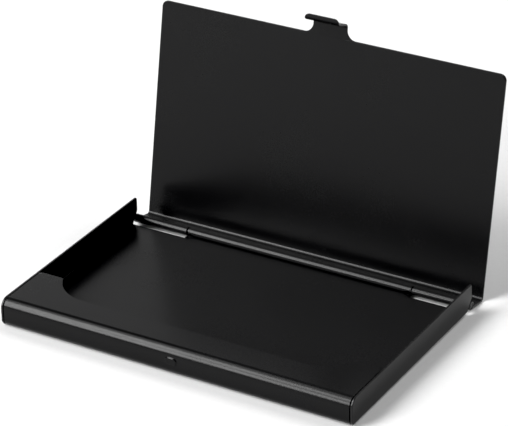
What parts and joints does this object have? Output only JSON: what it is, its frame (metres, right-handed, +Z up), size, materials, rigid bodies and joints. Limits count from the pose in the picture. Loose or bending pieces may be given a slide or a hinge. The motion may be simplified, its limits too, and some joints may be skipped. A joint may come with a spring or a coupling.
{
  "type": "business card case",
  "caption": "Slim folded sheet metal case for business cards, with a hinged lid that a spring tab on its front edge holds shut over a bump on the tray",
  "frame": {"origin": "centre of the tray's flat underside, midway between the side walls and midway between the front face and the back of the hinge barrel, on the surface the case stands on", "axes": "+X along the hinge to the right as seen from the front, +Y from the catch at the front to the hinge at the back, +Z up out of the open tray"},
  "size_m": [0.094, 0.0767, 0.0617],
  "materials": {
    "black_coated_sheet": "satin black coating with a very fine grain",
    "blackened_wire": "blackened"
  },
  "bodies": {
    "base": {"card_tray": "black_coated_sheet", "hinge_pin": "blackened_wire"},
    "lid": {"lid": "black_coated_sheet"}
  },
  "joints": [
    {"name": "lid_hinge", "type": "hinge", "parent": "base", "child": "lid", "pos_m": [0, 0.0289, 0.0011], "axis": [1, 0, 0], "range_deg": [0, 101]}
  ]
}
